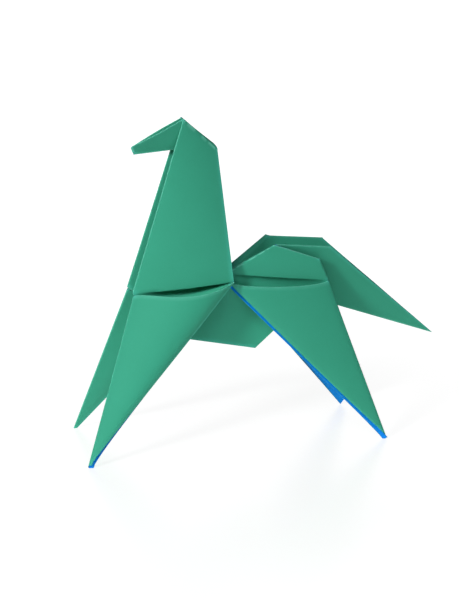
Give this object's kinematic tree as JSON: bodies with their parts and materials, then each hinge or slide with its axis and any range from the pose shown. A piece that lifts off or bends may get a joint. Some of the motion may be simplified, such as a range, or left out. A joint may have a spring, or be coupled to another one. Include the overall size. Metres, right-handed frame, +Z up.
{
  "type": "folded paper horse",
  "caption": "Standing horse folded from one square sheet of two-coloured paper, cut to free the legs, with a forward head, a pleated top to each leg and a pointed tail",
  "frame": {"origin": "centre of the bounding box seen from above, at the level of the feet", "axes": "+X towards the tail with the head at -X, +Y towards the far side, +Z up"},
  "size_m": [0.1164, 0.0334, 0.1049],
  "materials": {
    "sheet": "matte uncoated paper, green outside and blue on the reverse"
  },
  "bodies": {
    "root": {"folded_sheet": "sheet"}
  },
  "joints": []
}
